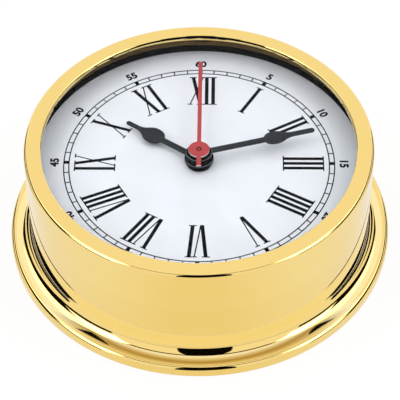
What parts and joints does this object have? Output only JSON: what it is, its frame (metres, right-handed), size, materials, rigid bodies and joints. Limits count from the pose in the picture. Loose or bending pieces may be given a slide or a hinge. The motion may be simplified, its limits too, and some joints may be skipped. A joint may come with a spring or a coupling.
{
  "type": "marine clock",
  "caption": "Round brass marine wall clock with flanged case, glazed white dial with Roman hour figures, spade hands and a quartz movement inside.",
  "frame": {"origin": "centre of the flange's rear face, on the wall plane", "axes": "+Z out of the dial, +Y towards twelve o'clock, +X towards three o'clock; the clock lies on its back"},
  "size_m": [0.15, 0.15, 0.0475],
  "materials": {
    "brass_case": "polished and lacquered",
    "brass_ring": "polished",
    "brass_lug": "turned and soldered",
    "brass_bush": "turned",
    "glass": "clear float glass",
    "gasket_rubber": "matt",
    "spacer_black": "satin moulded",
    "dial_white": "matt enamel with printed figures",
    "support_black": "moulded",
    "plate_steel": "black powder coat",
    "screw_steel": "zinc plated",
    "movement_black": "fine moulded grain",
    "wheel_acetal": "moulded",
    "knob_acetal": "moulded, ribbed edge",
    "small_steel": "stamped and plated",
    "coil_copper": "enamelled copper wire",
    "magnet_ferrite": "sintered ferrite",
    "board_green": "solder mask",
    "chip_black": "resin drop",
    "battery_sleeve": "plain printed sleeve",
    "hand_charcoal": "satin charcoal paint",
    "hand_red": "satin red paint"
  },
  "bodies": {
    "clock_body": {"case": "brass_case", "glass_retaining_ring": "brass_ring", "case_lug_1": "brass_lug", "case_lug_2": "brass_lug", "case_lug_3": "brass_lug", "centre_bush": "brass_bush", "glass": "glass", "glass_gasket": "gasket_rubber", "movement_pad": "gasket_rubber", "dial_spacer_ring": "spacer_black", "dial": "dial_white", "dial_support_ring": "support_black", "back_plate": "plate_steel", "back_screw_1": "screw_steel", "back_screw_2": "screw_steel", "back_screw_3": "screw_steel", "movement_tray": "movement_black", "movement_rear_cover": "movement_black", "train_bridge": "wheel_acetal", "coil_bobbin": "wheel_acetal", "bush_washer": "small_steel", "bush_nut": "small_steel", "stator": "small_steel", "coil_core": "small_steel", "quartz_crystal": "small_steel", "battery_contact_positive": "small_steel", "battery_contact_negative": "small_steel", "coil_winding": "coil_copper", "circuit_board": "board_green", "chip_cover": "chip_black", "battery": "battery_sleeve"},
    "second_body": {"second_wheel": "wheel_acetal", "second_hand": "hand_red"},
    "third_body": {"third_wheel": "wheel_acetal"},
    "centre_body": {"centre_wheel": "wheel_acetal"},
    "intermediate_body": {"intermediate_wheel": "wheel_acetal"},
    "rotor_body": {"rotor": "wheel_acetal", "rotor_magnet": "magnet_ferrite"},
    "minute_body": {"minute_arbor": "brass_bush", "minute_hand": "hand_charcoal", "clutch_spring": "small_steel"},
    "minute_wheel_body": {"minute_wheel": "wheel_acetal"},
    "hour_body": {"hour_wheel": "wheel_acetal", "hour_hand": "hand_charcoal"},
    "setting_body": {"setting_shaft": "wheel_acetal", "setting_knob": "knob_acetal"}
  },
  "joints": [
    {"name": "second_hand_turn", "type": "hinge", "parent": "clock_body", "child": "second_body", "pos_m": [0, 0, 0.043], "axis": [0, 0, -1], "continuous": true},
    {"name": "third_wheel_turn", "type": "hinge", "parent": "clock_body", "child": "third_body", "pos_m": [-0.01048, 0.00489, 0.02535], "axis": [0, 0, -1], "continuous": true},
    {"name": "centre_wheel_turn", "type": "hinge", "parent": "clock_body", "child": "centre_body", "pos_m": [0, 0, 0.0283], "axis": [0, 0, -1], "continuous": true},
    {"name": "intermediate_wheel_turn", "type": "hinge", "parent": "clock_body", "child": "intermediate_body", "pos_m": [0.0102, 0.0018, 0.02345], "axis": [0, 0, -1], "continuous": true},
    {"name": "rotor_turn", "type": "hinge", "parent": "clock_body", "child": "rotor_body", "pos_m": [0.01764, 0.0018, 0.02155], "axis": [0, 0, -1], "continuous": true},
    {"name": "minute_hand_turn", "type": "hinge", "parent": "clock_body", "child": "minute_body", "pos_m": [0, 0, 0.041], "axis": [0, 0, -1], "continuous": true},
    {"name": "minute_wheel_turn", "type": "hinge", "parent": "clock_body", "child": "minute_wheel_body", "pos_m": [0.00679, 0.00679, 0.0302], "axis": [0, 0, -1], "continuous": true},
    {"name": "hour_hand_turn", "type": "hinge", "parent": "clock_body", "child": "hour_body", "pos_m": [0, 0, 0.039], "axis": [0, 0, -1], "continuous": true},
    {"name": "setting_knob_turn", "type": "hinge", "parent": "clock_body", "child": "setting_body", "pos_m": [0.01358, 0.01358, 0.017], "axis": [0, 0, -1], "continuous": true}
  ],
  "couplings": [
    {"joint": "third_wheel_turn", "follows": "second_hand_turn", "ratio": -0.13333},
    {"joint": "centre_wheel_turn", "follows": "second_hand_turn", "ratio": 0.016667},
    {"joint": "intermediate_wheel_turn", "follows": "second_hand_turn", "ratio": -6},
    {"joint": "rotor_turn", "follows": "second_hand_turn", "ratio": 30},
    {"joint": "minute_wheel_turn", "follows": "minute_hand_turn", "ratio": -0.33333},
    {"joint": "hour_hand_turn", "follows": "minute_hand_turn", "ratio": 0.083333},
    {"joint": "setting_knob_turn", "follows": "minute_hand_turn", "ratio": 1}
  ]
}
